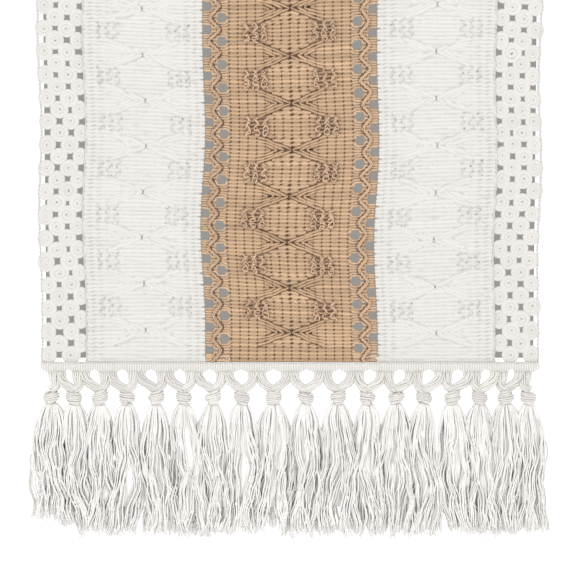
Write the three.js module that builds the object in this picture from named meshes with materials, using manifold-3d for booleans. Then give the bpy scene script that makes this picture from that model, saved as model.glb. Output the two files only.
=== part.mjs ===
// A fringed table runner, draped over a table of tableLength: a tan knitted strip between two white
// ones, an openwork lace edging down each long side, and at each end a scalloped hem tape, a net of
// knots and a row of tassels. Millimetres, +Z up. X runs across the runner and Y along it. The origin
// is the middle of the underside, where the runner lies on the table, and the front drop faces -Y.

import * as THREE from 'three';
import { mergeVertices } from 'three/addons/utils/BufferGeometryUtils.js';
import Module from 'manifold-3d';

// The whole runner
const runnerLength = 1828.8; // 72 in along the cloth, tassel tip to tassel tip
const runnerWidth = 305; // 12 in
const tableLength = 1066.8; // 42 in, the table that the runner is draped over
const clothThickness = 2;
const bendRadius = 2; // inside radius of the cloth where it turns down over the table's end
const clearance = 0.3; // between neighbouring pieces

// The strips, side by side
const tanWidth = 106;
const whiteWidth = 71.5;
const laceWidth = (runnerWidth - tanWidth) / 2 - whiteWidth;

// The hem tape, which closes each end of the cloth
const tapeHeight = 7.6;
const tapeThickness = 2.6;
const scallopDepth = 2.8; // how far the notches between scallops reach up from the tape's lower edge

// The net of knots under the tape, measured down from the tape's lower edge
const upperKnotCount = 17;
const lowerKnotCount = upperKnotCount + 1;
const fringeLength = 98.8; // tape to tassel tips
const hemHingeDepth = 0.3; // the line that the net swings about
const upperKnotDepth = 4.5;
const lowerKnotDepth = 17.6;
const upperKnotHalfSize = [5.2, 4, 3.2];
const ballRadius = 4.2; // a lower knot, round about the line that its tassel swings about
const legRadius = 2.1; // the yarn bundle between an upper knot and a lower one
const upperRowHalfWidth = 143;
const lowerRowHalfWidth = 146.5;
const endCrowding = 0.1; // how much closer the knots sit towards the runner's two sides
const handTiedShift = 0.9; // the uneven spacing of knots tied by hand

// A tassel, cupped round its knot
const cupRadius = 5.1;
const cupRimAngle = 25; // degrees below the knot's middle
const tasselRadius = 7;

const bendAxisY = tableLength / 2 - bendRadius;
const clothMiddleY = tableLength / 2 + clothThickness / 2;
const bendLength = (Math.PI / 2) * (bendRadius + clothThickness / 2);
const dropDepth = (runnerLength - 2 * bendAxisY) / 2 - bendLength + bendRadius;
const tapeBottomZ = -(dropDepth - fringeLength);
const tapeTopZ = tapeBottomZ + tapeHeight;

const cotton = { color: '#efebe6', roughness: 0.95, metalness: 0 };
const tanYarn = { color: '#c19f7c', roughness: 0.95, metalness: 0 };

// The strips from left to right: name, middle and width
const strips = [
  ['lace_edge_left', -(runnerWidth - laceWidth) / 2, laceWidth, cotton],
  ['white_strip_left', -(tanWidth + whiteWidth) / 2, whiteWidth, cotton],
  ['tan_strip', 0, tanWidth, tanYarn],
  ['white_strip_right', (tanWidth + whiteWidth) / 2, whiteWidth, cotton],
  ['lace_edge_right', (runnerWidth - laceWidth) / 2, laceWidth, cotton],
];

function namedMesh(name, geometry, finish) {
  const mesh = new THREE.Mesh(geometry, new THREE.MeshStandardMaterial(finish));
  mesh.name = name;
  return mesh;
}

// Knot number n of a row, spread over +-halfWidth, closer together at the ends and a little uneven.
function knotX(n, count, halfWidth) {
  const u = (2 * n) / (count - 1) - 1;
  const spread = halfWidth * (u * (1 + endCrowding) - endCrowding * u ** 3);
  return spread + handTiedShift * Math.sin(5.3 * n + count) * (1 - u ** 4);
}

const rowOf = (count, halfWidth) => Array.from({ length: count }, (_, n) => knotX(n, count, halfWidth));
const upperKnots = rowOf(upperKnotCount, upperRowHalfWidth);
const lowerKnots = rowOf(lowerKnotCount, lowerRowHalfWidth);

// How wide a tassel is against its depth: it reaches halfway to its nearer neighbour.
function tasselStretch(n) {
  const left = n > 0 ? lowerKnots[n] - lowerKnots[n - 1] : Infinity;
  const right = n < lowerKnotCount - 1 ? lowerKnots[n + 1] - lowerKnots[n] : Infinity;
  return (Math.min(left, right) - clearance) / 2 / tasselRadius;
}

// The five strips of the section that lies on the table
function topSection() {
  return strips.map(([name, x, width, finish]) => {
    const box = new THREE.BoxGeometry(width - clearance, 2 * bendAxisY - clearance, clothThickness);
    const mesh = namedMesh(`${name}_top`, box, finish);
    mesh.position.set(x, 0, clothThickness / 2);
    return mesh;
  });
}

// The five strips that hang at one end, from the bend down to the tape
function hangingStrips(end, side) {
  const top = -bendRadius - clearance / 2;
  const bottom = tapeTopZ + clearance;
  return strips.map(([name, x, width, finish]) => {
    const box = new THREE.BoxGeometry(width - clearance, clothThickness, top - bottom);
    const mesh = namedMesh(`${name}_${end}`, box, finish);
    mesh.position.set(x, side * clothMiddleY, (top + bottom) / 2);
    return mesh;
  });
}

// The tape: straight along the top, and one shallow scallop for each upper knot along the bottom.
function hemTape(end, side) {
  const half = runnerWidth / 2;
  const notchZ = tapeBottomZ + scallopDepth;
  const controlZ = tapeBottomZ - scallopDepth; // puts a curve's lowest point on tapeBottomZ
  const outline = new THREE.Shape();
  outline.moveTo(-half, tapeTopZ);
  outline.lineTo(-half, notchZ);
  upperKnots.forEach((x, n) => {
    const next = n + 1 < upperKnotCount ? (x + upperKnots[n + 1]) / 2 : half;
    outline.quadraticCurveTo(x, controlZ, next, notchZ);
  });
  outline.lineTo(half, tapeTopZ);
  const geometry = new THREE.ExtrudeGeometry(outline, {
    depth: tapeThickness,
    bevelEnabled: false,
    curveSegments: 4,
  });
  geometry.rotateX(Math.PI / 2);
  const mesh = namedMesh(`hem_tape_${end}`, geometry, cotton);
  mesh.position.y = side * clothMiddleY + tapeThickness / 2;
  return mesh;
}

const wasm = await Module();
wasm.setup();

function toSolid(geometry) {
  geometry.deleteAttribute('normal');
  geometry.deleteAttribute('uv');
  const merged = mergeVertices(geometry, 1e-4);
  return new wasm.Manifold(
    new wasm.Mesh({
      numProp: 3,
      vertProperties: new Float32Array(merged.attributes.position.array),
      triVerts: new Uint32Array(merged.index.array),
    }),
  );
}

function toGeometry(solid) {
  const { vertProperties, triVerts } = solid.getMesh();
  const geometry = new THREE.BufferGeometry();
  geometry.setAttribute('position', new THREE.BufferAttribute(vertProperties, 3));
  geometry.setIndex(new THREE.BufferAttribute(triVerts, 1));
  return geometry;
}

// A yarn bundle from an upper knot to a lower one, both ends buried in the knots
function leg(from, to) {
  const start = new THREE.Vector3(from, 0, -upperKnotDepth);
  const finish = new THREE.Vector3(to, 0, -lowerKnotDepth);
  const along = finish.clone().sub(start);
  const geometry = new THREE.CylinderGeometry(legRadius, legRadius, along.length(), 5);
  const turn = new THREE.Quaternion().setFromUnitVectors(new THREE.Vector3(0, 1, 0), along.normalize());
  geometry.applyQuaternion(turn);
  const middle = start.add(finish).multiplyScalar(0.5);
  return geometry.translate(middle.x, middle.y, middle.z);
}

// The net: upper knots that hang from the tape, and bundles that pair up again in the lower knots
function knotNet(end, side) {
  const pieces = [];
  upperKnots.forEach((x, n) => {
    const knot = new THREE.SphereGeometry(1, 7, 4).scale(...upperKnotHalfSize);
    pieces.push(knot.translate(x, 0, -upperKnotDepth));
    pieces.push(leg(x, lowerKnots[n]), leg(x, lowerKnots[n + 1]));
  });
  lowerKnots.forEach((x, n) => {
    const ball = new THREE.SphereGeometry(ballRadius, 8, 5).rotateZ(Math.PI / 2);
    pieces.push(ball.scale(tasselStretch(n), 1, 1).translate(x, 0, -lowerKnotDepth));
  });
  const joined = pieces.map(toSolid).reduce((sum, piece) => sum.add(piece));
  const mesh = namedMesh(`knot_net_${end}`, toGeometry(joined), cotton);
  mesh.position.set(0, side * clothMiddleY, tapeBottomZ);
  return mesh;
}

// A tassel turned about its own length, hollowed at the top to clear its knot
function tassel(end, side, n) {
  const tipDepth = fringeLength - lowerKnotDepth;
  const rim = THREE.MathUtils.degToRad(cupRimAngle);
  const cup = [90, 65, 45].map((angle) => THREE.MathUtils.degToRad(angle)).concat(rim);
  const profile = cup.map((angle, i) => {
    const radius = i === 0 ? 0 : cupRadius * Math.cos(angle);
    return new THREE.Vector2(radius, -cupRadius * Math.sin(angle));
  });
  profile.push(
    new THREE.Vector2(cupRadius * Math.cos(rim) + 1, -cupRadius * Math.sin(rim) - 0.3),
    new THREE.Vector2(tasselRadius, -0.22 * tipDepth),
    new THREE.Vector2(tasselRadius, -0.8 * tipDepth),
    new THREE.Vector2(0.8 * tasselRadius, -tipDepth),
    new THREE.Vector2(0, -tipDepth),
  );
  const geometry = new THREE.LatheGeometry(profile.reverse(), 8);
  geometry.rotateX(Math.PI / 2).scale(tasselStretch(n), 1, 1);
  const number = String(n + 1).padStart(2, '0');
  const mesh = namedMesh(`tassel_${end}_${number}`, geometry, cotton);
  mesh.position.set(lowerKnots[n], side * clothMiddleY, tapeBottomZ - lowerKnotDepth);
  return mesh;
}

const group = new THREE.Group();
group.add(...topSection());
for (const [end, side] of [['front', -1], ['rear', 1]]) {
  group.add(...hangingStrips(end, side), hemTape(end, side), knotNet(end, side));
  group.add(...lowerKnots.map((_, n) => tassel(end, side, n)));
}

export default group;
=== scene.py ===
from math import cos, pi, radians, sin

import bpy
import numpy as np
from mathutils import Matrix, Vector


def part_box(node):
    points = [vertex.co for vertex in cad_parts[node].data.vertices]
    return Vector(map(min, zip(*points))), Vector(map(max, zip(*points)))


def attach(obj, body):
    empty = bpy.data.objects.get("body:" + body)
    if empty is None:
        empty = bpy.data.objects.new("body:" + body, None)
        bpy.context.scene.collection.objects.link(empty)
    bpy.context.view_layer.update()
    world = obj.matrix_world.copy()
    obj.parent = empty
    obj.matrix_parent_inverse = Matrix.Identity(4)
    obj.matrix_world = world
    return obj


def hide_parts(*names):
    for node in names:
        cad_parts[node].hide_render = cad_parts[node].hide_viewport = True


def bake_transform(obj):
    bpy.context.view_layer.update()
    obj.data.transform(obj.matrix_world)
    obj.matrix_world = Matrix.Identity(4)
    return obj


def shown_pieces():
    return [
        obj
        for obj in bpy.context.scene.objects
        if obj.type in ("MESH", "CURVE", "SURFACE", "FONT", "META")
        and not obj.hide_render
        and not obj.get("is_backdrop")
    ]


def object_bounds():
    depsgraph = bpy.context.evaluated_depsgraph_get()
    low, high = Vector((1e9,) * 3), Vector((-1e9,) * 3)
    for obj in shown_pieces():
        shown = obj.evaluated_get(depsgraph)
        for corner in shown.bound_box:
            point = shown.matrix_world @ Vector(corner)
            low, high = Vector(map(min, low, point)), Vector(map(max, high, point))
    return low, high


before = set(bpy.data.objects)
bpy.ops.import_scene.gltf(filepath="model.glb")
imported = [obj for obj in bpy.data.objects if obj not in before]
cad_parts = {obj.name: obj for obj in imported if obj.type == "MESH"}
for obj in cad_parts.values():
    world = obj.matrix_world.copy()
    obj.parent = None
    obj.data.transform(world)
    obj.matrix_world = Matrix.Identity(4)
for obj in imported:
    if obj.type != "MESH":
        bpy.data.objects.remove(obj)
cadLow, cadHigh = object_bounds()

# A knitted table runner with a knotted fringe, hanging over both ends of a table.
# Lengths here are millimetres and go into the meshes as metres. x runs across the runner,
# s along the cloth from its middle (rear is positive) and n out of the cloth's outer face.
metre = 1000.0
dice = np.random.default_rng(19)


# A CAD node's lowest and highest place along one axis, in millimetres.
def spanOf(node, axis):
    low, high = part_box(node)
    return low[axis] * metre, high[axis] * metre


# Facts read from the frame
gap = 0.3  # what the CAD leaves between neighbours
halfWidth = spanOf("hem_tape_front", 0)[1]
tanHalf = spanOf("tan_strip_top", 0)[1] + gap / 2
laceInner = spanOf("lace_edge_right_top", 0)[0] - gap / 2
bendStart = spanOf("tan_strip_top", 1)[1] + gap / 2
clothMiddle = sum(spanOf("tan_strip_rear", 1)) / 2
clothHeight = sum(spanOf("tan_strip_top", 2)) / 2
bendRadius = clothMiddle - bendStart
tapeBottom, tapeTop = spanOf("hem_tape_front", 2)
tapeHalfThickness = (spanOf("hem_tape_rear", 1)[1] - spanOf("hem_tape_rear", 1)[0]) / 2
bendEnd = bendStart + bendRadius * pi / 2
clothEnd = bendEnd + clothHeight - bendRadius - tapeTop
tipHeight = cadLow[2] * metre
ends = {"front": -1, "rear": 1}

# How the cloth hangs between the bend and the tape
drape = {
    "ripple": 1.7,  # how far the hanging cloth waves in and out
    "rippleWidth": 186,
    "rippleSlant": 97,  # millimetres down the cloth that turn the ripple by a radian
    "sway": 1.1,  # how far its edges wander sideways
    "swayLength": 118,
    "swaySlant": 210,
    "rowBow": 1.7,  # how far a row strays from straight, all over the cloth
    "rowWaves": (41, 83),  # millimetres to a radian, across and along
    "rowFade": 30,  # how far from the tape the bow starts to die away
    "rowMargin": 4,  # rows stay straight this far below the bend
    "columnBow": 1.0,
    "columnWaves": (27, 19),  # millimetres to a radian, along and across
}


# Cloth point (x, s, n) in the row frame: flat on the table, a quarter turn about the bend's axis,
# then straight down, with a ripple that fades out at the bend and at the tape.
def onCloth(x, s, n):
    beyond = np.abs(s) - bendStart
    turn = np.clip(beyond / bendRadius, 0, pi / 2)
    fallen = np.clip(beyond - bendRadius * pi / 2, 0, None)
    free = np.sin(pi * np.clip(fallen / (clothEnd - bendEnd), 0, 1))
    across, along = drape["rowWaves"]
    fade = np.clip((clothEnd - np.abs(s)) / drape["rowFade"], 0, 1)
    bowed = s + drape["rowBow"] * np.sin(x / across + s / along + 0.5) * fade
    along, across = drape["columnWaves"]
    waver = np.sin(s / along + 0.4 * np.sin(x / across))
    x = x + drape["columnBow"] * waver * (1 - (x / halfWidth) ** 2)
    s = np.where(beyond > 0, s, bowed)
    below = beyond > bendRadius * pi / 2 + drape["rowMargin"]
    fallen = np.where(below, np.clip(np.abs(bowed) - bendEnd, 0, None), fallen)
    wave = np.sin(2 * pi * x / drape["rippleWidth"] + s / drape["rippleSlant"] + 0.6)
    n = n + free * drape["ripple"] * wave
    x = x + free * drape["sway"] * np.sin(2 * pi * s / drape["swayLength"] + x / drape["swaySlant"])
    y = np.where(beyond > 0, bendStart + (bendRadius + n) * np.sin(turn), np.abs(s)) * np.sign(s)
    z = clothHeight - bendRadius + (bendRadius + n) * np.cos(turn) - fallen
    return np.stack([x, y, z], axis=-1)


# Vectors divided by their own length.
def unit(v):
    return v / np.maximum(np.linalg.norm(v, axis=-1, keepdims=True), 1e-9)


# Closed yarns along the lines centre[yarn, step]: at each step a ring of points round the line,
# halfOut from it towards out and halfSide from it across, with a flat cap at both ends. Their painted
# shade is 0 on the side that faces out and dark[yarn, step] where the yarn turns inwards.
def tubes(centre, out, halfSide, halfOut, sides=3, tone=None, dark=1.0):
    count, steps = centre.shape[:2]
    along = np.gradient(centre, axis=1)
    side = unit(np.cross(along, np.broadcast_to(out, centre.shape)))
    upright = unit(np.cross(side, along))
    halfSide = np.broadcast_to(halfSide, (count, steps))[..., None, None]
    halfOut = np.broadcast_to(halfOut, (count, steps))[..., None, None]
    angle = pi / 2 + 2 * pi * np.arange(sides)[:, None] / sides
    ring = side[:, :, None] * np.cos(angle) * halfSide + upright[:, :, None] * np.sin(angle) * halfOut
    points = centre[:, :, None] + ring
    index = np.arange(count * steps * sides).reshape(count, steps, sides)
    after = np.roll(index, -1, axis=2)
    quads = np.stack([index[:, :-1], index[:, 1:], after[:, 1:], after[:, :-1]], axis=-1)
    stride = np.linalg.norm(np.diff(centre, axis=1), axis=-1)
    reach = np.concatenate([np.zeros((count, 1)), np.cumsum(stride, axis=1)], axis=1)
    u0 = np.broadcast_to(reach[:, :-1, None], quads.shape[:3])
    u1 = np.broadcast_to(reach[:, 1:, None], quads.shape[:3])
    v0 = np.broadcast_to(np.arange(sides) / sides, quads.shape[:3])
    quadUv = np.stack([np.stack([u0, u1, u1, u0], -1), np.stack([v0, v0, v0, v0], -1)], -1)
    quadUv[..., 2:, 1] += 1 / sides
    caps = np.stack([index[:, 0], index[:, -1, ::-1]], axis=1)
    capUv = np.zeros(caps.shape + (2,))
    capUv[:, 1, :, 0] = reach[:, -1:]
    capUv[..., 1] = np.linspace(0.1, 0.9, sides)
    tone = dice.normal(0, 1, count) if tone is None else np.broadcast_to(tone, count)
    # Painted shade: 0 on a yarn's outward face, rising towards its sides and back.
    paintedShade = np.clip(1 - np.sin(angle[:, 0]), 0, 1) * np.broadcast_to(dark, (count, steps))[..., None]
    return {
        "points": points.reshape(-1, 3),
        "faces": [quads.reshape(-1, 4), caps.reshape(-1, sides)],
        "uv": [quadUv.reshape(-1, 4, 2), capUv.reshape(-1, sides, 2)],
        "yarn": [np.repeat(np.arange(count), (steps - 1) * sides), np.repeat(np.arange(count), 2)],
        "paintedShade": paintedShade.ravel(),
        "tone": np.repeat(tone, steps * sides),
        "count": count,
        "length": float(reach[:, -1].mean()),
        "girth": float(4 * np.hypot(halfSide.mean(), halfOut.mean())),
    }


# A share of a cell of the yarn atlas, kept off the cell's edges by a margin.
def inset(share, margin):
    return share * (1 - 2 * margin) + margin


# One mesh from several sets of yarns. place maps a cloth point to the row frame. The map Yarn runs
# u along a yarn in millimetres and v round it; OFBake lays the yarns out in rows.
def pieceOf(name, parts, finish, place=None, smooth=True):
    points = np.concatenate([part["points"] for part in parts])
    if place:
        points = place(points[:, 0], points[:, 1], points[:, 2])
    loops, starts, yarnUv, atlasUv = [], [], [], []
    pointOffset, loopOffset, yarnOffset = 0, 0, 0
    total = sum(part["count"] for part in parts)
    length = max(part["length"] for part in parts)
    columns = max(1, round((total * parts[0]["girth"] / length) ** 0.5))
    rows = -(-total // columns)
    for part in parts:
        for faces, uv, yarn in zip(part["faces"], part["uv"], part["yarn"]):
            corners = faces.shape[1]
            loops.append((faces + pointOffset).ravel())
            starts.append(loopOffset + corners * np.arange(len(faces)))
            loopOffset += faces.size
            yarnUv.append(uv.reshape(-1, 2))
            cell = np.repeat(yarn + yarnOffset, corners)
            across = (cell % columns + inset(np.clip(uv[..., 0].ravel() / length, 0, 1), 0.01)) / columns
            around = (cell // columns + inset(uv[..., 1].ravel(), 0.05)) / rows
            atlasUv.append(np.stack([across, around], -1))
        pointOffset += len(part["points"])
        yarnOffset += part["count"]
    loops, starts = np.concatenate(loops), np.concatenate(starts)
    mesh = bpy.data.meshes.new(name)
    mesh.vertices.add(len(points))
    mesh.vertices.foreach_set("co", (points / metre).astype(np.float32).ravel())
    mesh.loops.add(len(loops))
    mesh.loops.foreach_set("vertex_index", loops.astype(np.int32))
    mesh.polygons.add(len(starts))
    mesh.polygons.foreach_set("loop_start", starts.astype(np.int32))
    mesh.polygons.foreach_set("use_smooth", np.full(len(starts), smooth))
    for layer, values in (("Yarn", yarnUv), ("OFBake", atlasUv)):
        uvMap = mesh.uv_layers.new(name=layer)
        uvMap.data.foreach_set("uv", np.concatenate(values).astype(np.float32).ravel())
    for layer in ("paintedShade", "tone"):
        values = np.concatenate([part[layer] for part in parts])
        attribute = mesh.attributes.new(layer, "FLOAT", "POINT")
        attribute.data.foreach_set("value", values.astype(np.float32))
    mesh.update(calc_edges=True)
    mesh.validate()
    mesh.materials.append(finish)
    piece = bpy.data.objects.new(name, mesh)
    bpy.context.scene.collection.objects.link(piece)
    return piece


# What every yarn shares
yarnLook = {
    "fibreStretch": (0.9, 9, 1),  # fibres run along the yarn
    "fibreDetail": 3,
    "plyGroove": 0.16,  # shade between two plies
    "plyCrown": 0.22,  # how much of it a ply's crown takes away
    "fibreHeight": 0.35,  # against a ply's height of 1
    "sheenRoughness": 0.5,
    "specular": 0.25,
    "bumpDistance": 0.0004,  # metres
}


# Twisted cotton: plies that run slantwise round the yarn, fibres, and painted shade in the creases and
# between the plies.
def makeYarnGroup():
    group = bpy.data.node_groups.new("yarnTwist", "ShaderNodeTree")
    face = group.interface
    for name, kind, value in (("Lit Color", "NodeSocketColor", (0.8, 0.8, 0.8, 1)),
                              ("Shade Color", "NodeSocketColor", (0.3, 0.3, 0.3, 1)),
                              ("Ply Length", "NodeSocketFloat", 2.2),
                              ("Plies", "NodeSocketFloat", 2.0),
                              ("Shade Share", "NodeSocketFloat", 0.6),
                              ("Tone Spread", "NodeSocketFloat", 0.04),
                              ("Mottle", "NodeSocketFloat", 0.16)):
        face.new_socket(name=name, in_out="INPUT", socket_type=kind).default_value = value
    face.new_socket(name="Color", in_out="OUTPUT", socket_type="NodeSocketColor")
    face.new_socket(name="Height", in_out="OUTPUT", socket_type="NodeSocketFloat")
    nodes, link = group.nodes, group.links.new
    given, result = nodes.new("NodeGroupInput"), nodes.new("NodeGroupOutput")
    uvMap = nodes.new("ShaderNodeUVMap")
    uvMap.uv_map = "Yarn"
    parts = nodes.new("ShaderNodeSeparateXYZ")
    link(uvMap.outputs[0], parts.inputs[0])

    # One Math node. Numbers go on its sockets and sockets are linked.
    def calc(kind, a, b, c=None):
        node = nodes.new("ShaderNodeMath")
        node.operation = kind
        for socket, value in zip(node.inputs, (a, b, c)):
            if isinstance(value, (int, float)):
                socket.default_value = value
            elif value is not None:
                link(value, socket)
        return node.outputs[0]

    along = calc("DIVIDE", parts.outputs["X"], given.outputs["Ply Length"])
    slant = calc("MULTIPLY_ADD", parts.outputs["Y"], given.outputs["Plies"], along)
    ply = calc("ABSOLUTE", calc("SINE", calc("MULTIPLY", slant, pi), 0), 0)
    fibre = nodes.new("ShaderNodeTexNoise")
    fibre.inputs["Scale"].default_value = 1.0
    fibre.inputs["Detail"].default_value = yarnLook["fibreDetail"]
    stretch = nodes.new("ShaderNodeMapping")
    stretch.inputs["Scale"].default_value = yarnLook["fibreStretch"]
    link(uvMap.outputs[0], stretch.inputs["Vector"])
    link(stretch.outputs[0], fibre.inputs["Vector"])
    paintedShade = nodes.new("ShaderNodeAttribute")
    paintedShade.attribute_name = "paintedShade"
    tone = nodes.new("ShaderNodeAttribute")
    tone.attribute_name = "tone"
    # Painted shade: the colour is mixed towards the shade colour on a yarn's inward sides and between its
    # plies.
    sideShade = calc("MULTIPLY", paintedShade.outputs["Fac"], given.outputs["Shade Share"])
    groove = calc("MULTIPLY_ADD", ply, -yarnLook["plyCrown"], yarnLook["plyGroove"])
    shade = calc("ADD", sideShade, calc("MAXIMUM", groove, 0))
    mix = nodes.new("ShaderNodeMix")
    mix.data_type = "RGBA"
    mix.clamp_factor = True
    link(shade, mix.inputs["Factor"])
    link(given.outputs["Lit Color"], mix.inputs["A"])
    link(given.outputs["Shade Color"], mix.inputs["B"])
    spread = calc("MULTIPLY_ADD", tone.outputs["Fac"], given.outputs["Tone Spread"], 1.0)
    fleck = calc("MULTIPLY_ADD", calc("SUBTRACT", fibre.outputs["Fac"], 0.5), given.outputs["Mottle"], 1.0)
    mottle = calc("MULTIPLY", spread, fleck)
    bright = nodes.new("ShaderNodeVectorMath")
    bright.operation = "SCALE"
    link(mix.outputs["Result"], bright.inputs[0])
    link(mottle, bright.inputs["Scale"])
    link(bright.outputs[0], result.inputs["Color"])
    height = calc("MULTIPLY_ADD", fibre.outputs["Fac"], yarnLook["fibreHeight"], ply)
    link(height, result.inputs["Height"])
    return group


yarnTwist = makeYarnGroup()


# Cotton: the yarnTwist group feeds Base Color and a Bump node; lit is the yarn's colour and the second
# colour is its painted shade.
def yarnFinish(name, lit, shadeColour, values, roughness=0.9, sheen=0.25, bump=0.15):
    finish = bpy.data.materials.new(name)
    finish.use_nodes = True
    nodes, link = finish.node_tree.nodes, finish.node_tree.links.new
    shader = nodes["Principled BSDF"]
    shader.inputs["Roughness"].default_value = roughness
    shader.inputs["Sheen Weight"].default_value = sheen
    shader.inputs["Sheen Roughness"].default_value = yarnLook["sheenRoughness"]
    shader.inputs["Specular IOR Level"].default_value = yarnLook["specular"]
    twist = nodes.new("ShaderNodeGroup")
    twist.node_tree = yarnTwist
    twist.inputs["Lit Color"].default_value = (*lit, 1)
    twist.inputs["Shade Color"].default_value = (*shadeColour, 1)
    for socket, value in values.items():
        twist.inputs[socket].default_value = value
    rise = nodes.new("ShaderNodeBump")
    rise.inputs["Strength"].default_value = bump
    rise.inputs["Distance"].default_value = yarnLook["bumpDistance"]
    link(twist.outputs["Color"], shader.inputs["Base Color"])
    link(twist.outputs["Height"], rise.inputs["Height"])
    link(rise.outputs["Normal"], shader.inputs["Normal"])
    return finish


# In each finish the first colour is the yarn's own and the second is the painted shade on its inward sides.
finishes = {
    "white": yarnFinish("whiteCotton", (0.705, 0.69, 0.665), (0.40, 0.375, 0.34),
                        {"Ply Length": 1.6, "Shade Share": 0.9, "Tone Spread": 0.01}, bump=0.08),
    # Painted highlight: raised white threads, the knit's yarn made a little lighter.
    "whiteRaisedLit": yarnFinish("whiteLitThread", (0.735, 0.72, 0.695), (0.56, 0.53, 0.49),
                              {"Ply Length": 1.4, "Shade Share": 0.2, "Tone Spread": 0.02}, bump=0.08),
    "tan": yarnFinish("tanYarn", (0.615, 0.43, 0.275), (0.11, 0.05, 0.02),
                      {"Ply Length": 1.8, "Shade Share": 1.0, "Tone Spread": 0.07, "Mottle": 0.8}),
    # Painted highlight: the chains and curls, the tan yarn made lighter because they stand proud.
    "tanRaisedLit": yarnFinish("tanLitThread", (0.74, 0.52, 0.345), (0.17, 0.08, 0.03),
                            {"Ply Length": 1.4, "Shade Share": 0.5, "Tone Spread": 0.08, "Mottle": 0.6}),
    # Painted shade: near black brown, for the tan's warp threads and the thread beside each chain.
    "tanPillarShade": yarnFinish("tanPillarShadeThread", (0.17, 0.085, 0.04), (0.08, 0.04, 0.02),
                            {"Ply Length": 1.4, "Shade Share": 0.5, "Tone Spread": 0.05}),
    # Painted shade: a darker copy of the tan, for the ground threads and curl beds.
    "tanGroundShade": yarnFinish("tanShadedGroundThread", (0.47, 0.305, 0.18), (0.22, 0.115, 0.055),
                            {"Ply Length": 1.4, "Shade Share": 0.5, "Tone Spread": 0.05}),
    # Painted light: lighter than the white knit, to lift the shade in the gaps where it shows.
    "whiteGroundLit": yarnFinish("whiteGroundLitThread", (0.80, 0.78, 0.75), (0.66, 0.63, 0.59),
                              {"Ply Length": 1.4, "Shade Share": 0.4, "Tone Spread": 0.01}),
    "hem": yarnFinish("hemCotton", (0.79, 0.775, 0.75), (0.50, 0.47, 0.43),
                      {"Ply Length": 1.5, "Shade Share": 0.55, "Tone Spread": 0.01}),
    "knot": yarnFinish("knotCotton", (0.83, 0.81, 0.78), (0.60, 0.56, 0.51),
                       {"Ply Length": 2.6, "Shade Share": 0.4, "Tone Spread": 0.03}),
    # Painted light: the tassels' cotton is lighter than the knots' and the knit's, against the shade among
    # their strands.
    "fringeLit": yarnFinish("fringeLitCotton", (0.94, 0.925, 0.90), (0.87, 0.845, 0.81),
                         {"Ply Length": 2.6, "Shade Share": 0.25, "Tone Spread": 0.02}),
}
print("finishes made")

knit = {
    "rowPitch": 2.35,
    "rowsPerMotif": 12,
    "columnPitch": 5.28,  # between the lines of stitches that tie the rows down
    "ribDepth": {"body": 0.46, "ladder": 0.46, "white": 0.13},
    "ribFill": {"body": 1.5, "ladder": 1.32, "white": 1.8},  # a rib's width in row pitches
    # Painted shade on a row's sides: grooveShade between rows and slopeShade under the arms.
    "grooveShade": {"body": 0.42, "ladder": 0.15, "white": 0.45},  # between rows, against 1 at a column
    "wobble": 0.13,
    "wobbleWaves": (6.1, 2.7),  # millimetres to a radian
    "tiedFrom": 0.6,  # a row narrows from here, 0 being halfway between columns and 1 on a column
    "tieHalf": 0.8,  # half the length of row that a column takes up
    "bodyColumns": 7,  # on each side of a strip's middle one
    "whiteColumns": 6,
    "edgeTaper": 4.6,  # how far from the tan a white row starts to narrow
    "edgeNarrowing": 0.54,
    "armSlope": 0.4,  # how steeply the chevrons' arms run
    "armTips": {0.5: 12.8, 1.5: 8.8, 2.5: 4.6, 3.5: 0.5},  # where each pair of rows meets, from the middle
    "armLift": {"body": 0.8, "white": 0.13, "ladder": 0.8},
    "armShare": {"body": 0.86, "white": 1.05},  # an arm row's width against a straight one's
    "curlHalfLength": 5.6,
    "curlMargin": 7,  # no curls this near to a section's ends
    "curlRadius": {"body": 0.82, "white": 0.5},
    "curlLift": {"body": (1.1, 0.35), "white": (0.3, 0.12)},  # the height and how much it sways
    "curlColumns": (3, 4, 5),
    "slackColumns": (4, 1.6),  # rows are slack this many columns out, this far each way
    "slackReach": 6.2,  # and this near to a curl's middle, along s
    "slack": {"body": 0.7, "white": 0.06, "ladder": 0.0},
    "slopeShade": {"body": 1.0, "white": 0.05, "ladder": 1.0},  # under a chevron's arms
}
pitch = knit["rowPitch"]
motifLength = pitch * knit["rowsPerMotif"]
holeSpacing = motifLength / 2

# Holes that the rows part round. phase is the place of a hole's middle along s, in rows.
ladders = {
    "outer": {"at": tanHalf - 2.5, "halfWidth": 3.6, "halfHeight": 2.65, "power": 7},
    "inner": {"at": tanHalf - 11.7, "halfWidth": 3.4, "halfHeight": 2.65, "power": 7},
    "outerPhase": {-1: 1, 1: -1},
    "chainAt": tanHalf - 7.3,
    "chainSwing": 2.7,
    "chain": {"loop": holeSpacing / 4, "swing": 0.6, "radius": 0.88, "lift": 1.2},
    "width": 15.1,  # of both hole columns and the chain between them
}
laceHole = {"at": laceInner + 2.3, "halfWidth": 3.6, "halfHeight": 2.6, "power": 1.3,
            "phase": 0, "strip": "white"}
holeColumns = []
for hand in (-1, 1):
    for ladder, later in (("outer", 0), ("inner", 3)):
        hole = dict(ladders[ladder], strip="ladder", phase=ladders["outerPhase"][hand] + later)
        holeColumns.append(dict(hole, at=hand * hole["at"]))
    holeColumns.append(dict(laceHole, at=hand * laceHole["at"]))


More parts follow.
